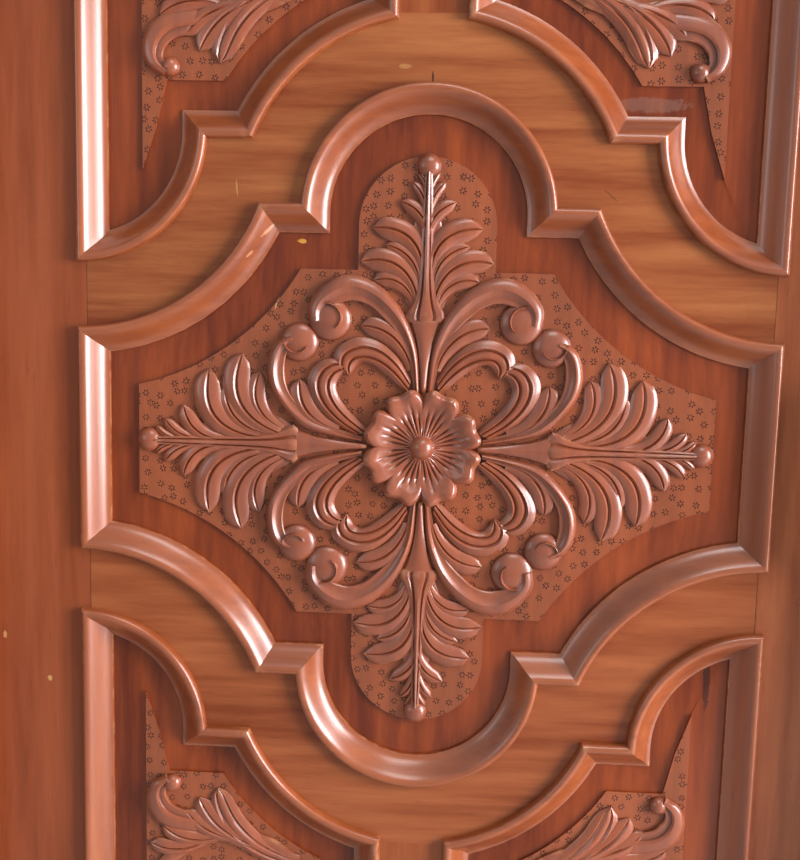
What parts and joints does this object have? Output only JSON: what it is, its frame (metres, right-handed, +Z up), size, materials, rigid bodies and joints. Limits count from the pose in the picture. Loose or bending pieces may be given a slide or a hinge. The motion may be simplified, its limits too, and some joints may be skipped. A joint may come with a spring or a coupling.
{
  "type": "door",
  "caption": "Carved frame-and-panel temple door leaf with mitred mouldings and curved rails, hung on lift-off hinges in a rebated wooden frame.",
  "frame": {"origin": "under the middle of the threshold, halfway through the depth of the door frame", "axes": "+Z up, +X to the right as seen from the carved front, +Y from the carved front to the back"},
  "size_m": [1.032, 0.1145, 2.185],
  "materials": {
    "leaf_wood": "satin varnish",
    "panel_wood": "satin varnish",
    "moulding_wood": "satin varnish",
    "frame_wood": "satin varnish",
    "hinge_brass": "aged",
    "handle_brass": "aged"
  },
  "bodies": {
    "door_frame": {"left_jamb": "frame_wood", "right_jamb": "frame_wood", "head": "frame_wood", "threshold": "frame_wood", "hinge_frame_halves": "hinge_brass"},
    "door_leaf": {"bottom_rail": "leaf_wood", "centre_arch_mouldings": "moulding_wood", "centre_moulding_left": "moulding_wood", "centre_moulding_right": "moulding_wood", "centre_panel": "panel_wood", "centre_shoulder_mouldings": "moulding_wood", "corner_arch_mouldings": "moulding_wood", "corner_shoulder_mouldings": "moulding_wood", "hinge_leaf_halves": "hinge_brass", "hinge_stile": "leaf_wood", "lock_stile": "leaf_wood", "lower_curved_rail": "leaf_wood", "lower_left_centre_step_moulding": "moulding_wood", "lower_left_end_moulding": "moulding_wood", "lower_left_muntin_moulding": "moulding_wood", "lower_left_panel": "panel_wood", "lower_left_side_moulding": "moulding_wood", "lower_left_step_moulding": "moulding_wood", "lower_muntin": "leaf_wood", "lower_right_centre_step_moulding": "moulding_wood", "lower_right_end_moulding": "moulding_wood", "lower_right_muntin_moulding": "moulding_wood", "lower_right_panel": "panel_wood", "lower_right_side_moulding": "moulding_wood", "lower_right_step_moulding": "moulding_wood", "pull_handle": "handle_brass", "top_rail": "leaf_wood", "upper_curved_rail": "leaf_wood", "upper_left_centre_step_moulding": "moulding_wood", "upper_left_end_moulding": "moulding_wood", "upper_left_muntin_moulding": "moulding_wood", "upper_left_panel": "panel_wood", "upper_left_side_moulding": "moulding_wood", "upper_left_step_moulding": "moulding_wood", "upper_muntin": "leaf_wood", "upper_right_centre_step_moulding": "moulding_wood", "upper_right_end_moulding": "moulding_wood", "upper_right_muntin_moulding": "moulding_wood", "upper_right_panel": "panel_wood", "upper_right_side_moulding": "moulding_wood", "upper_right_step_moulding": "moulding_wood"}
  },
  "joints": [
    {"name": "leaf_swing", "type": "hinge", "parent": "door_frame", "child": "door_leaf", "pos_m": [-0.4515, 0.0575, 1.079], "axis": [0, 0, 1], "range_deg": [0, 100]}
  ]
}
